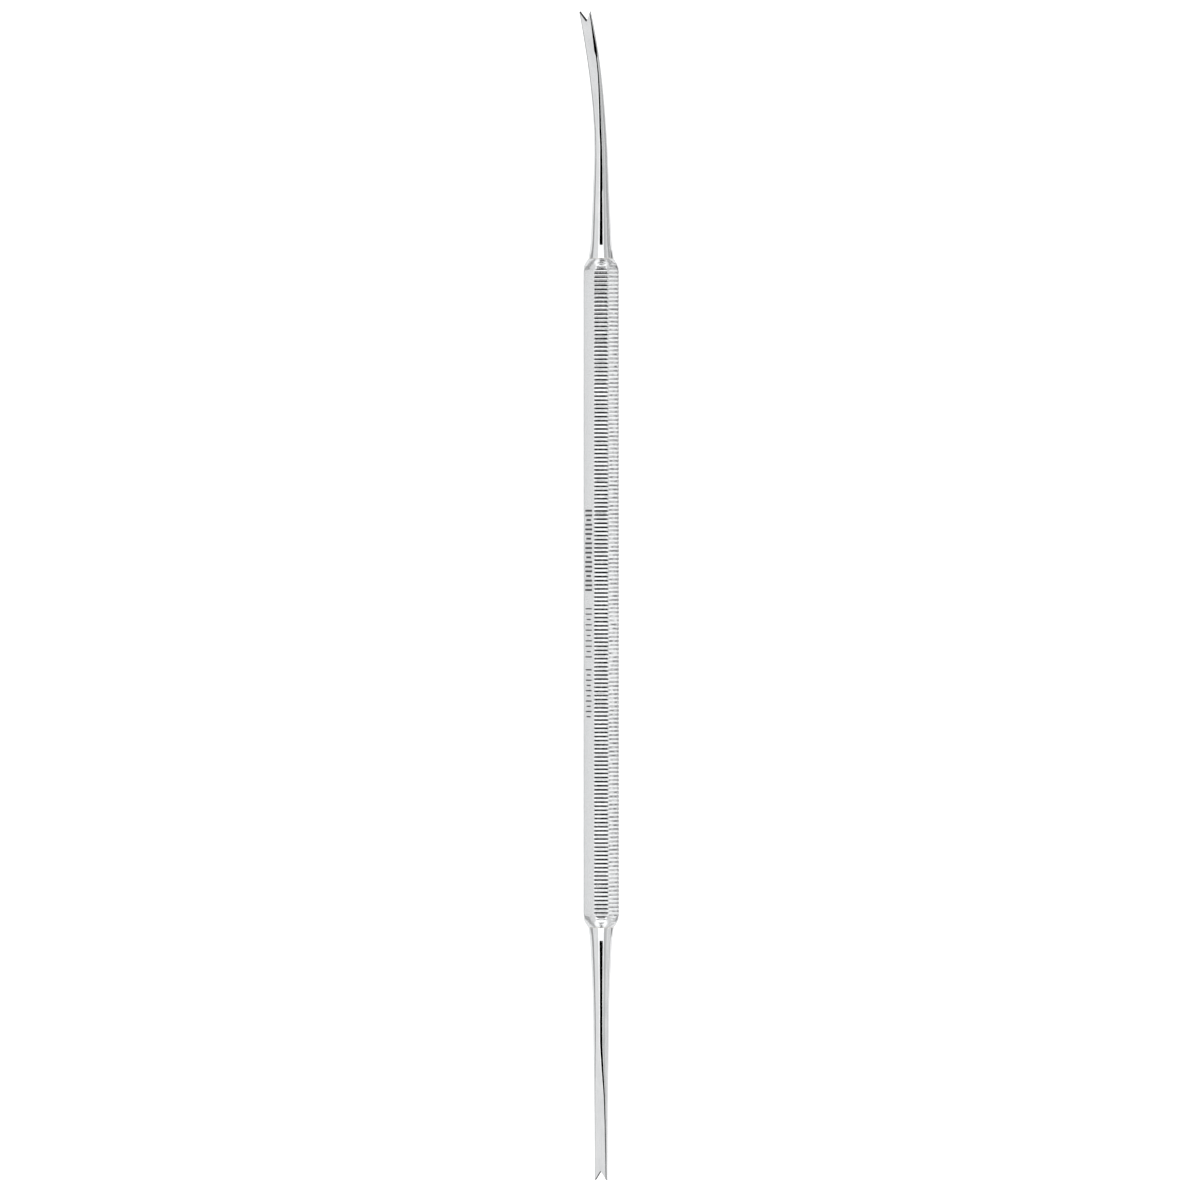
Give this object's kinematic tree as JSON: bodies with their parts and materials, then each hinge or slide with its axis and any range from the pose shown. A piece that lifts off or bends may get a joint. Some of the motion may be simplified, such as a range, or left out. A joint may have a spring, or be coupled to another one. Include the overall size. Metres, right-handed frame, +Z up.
{
  "type": "cuticle pusher",
  "caption": "Double-ended steel cuticle pusher: serrated octagonal handle with one straight and one bent forked flat tip.",
  "frame": {"origin": "middle of the handle's lower flat, the one the tool rests on", "axes": "+X along the handle towards the curved end, +Z up out of the top flat, +Y to the left of the handle on the side of its smooth faces"},
  "size_m": [0.1704, 0.0058, 0.0087],
  "materials": {
    "handle_steel": "satin",
    "polished_steel": "polished",
    "silver_braze": "satin"
  },
  "bodies": {
    "root": {"handle": "handle_steel", "curved_working_end": "polished_steel", "straight_working_end": "polished_steel", "curved_end_braze_ring": "silver_braze", "straight_end_braze_ring": "silver_braze"}
  },
  "joints": []
}
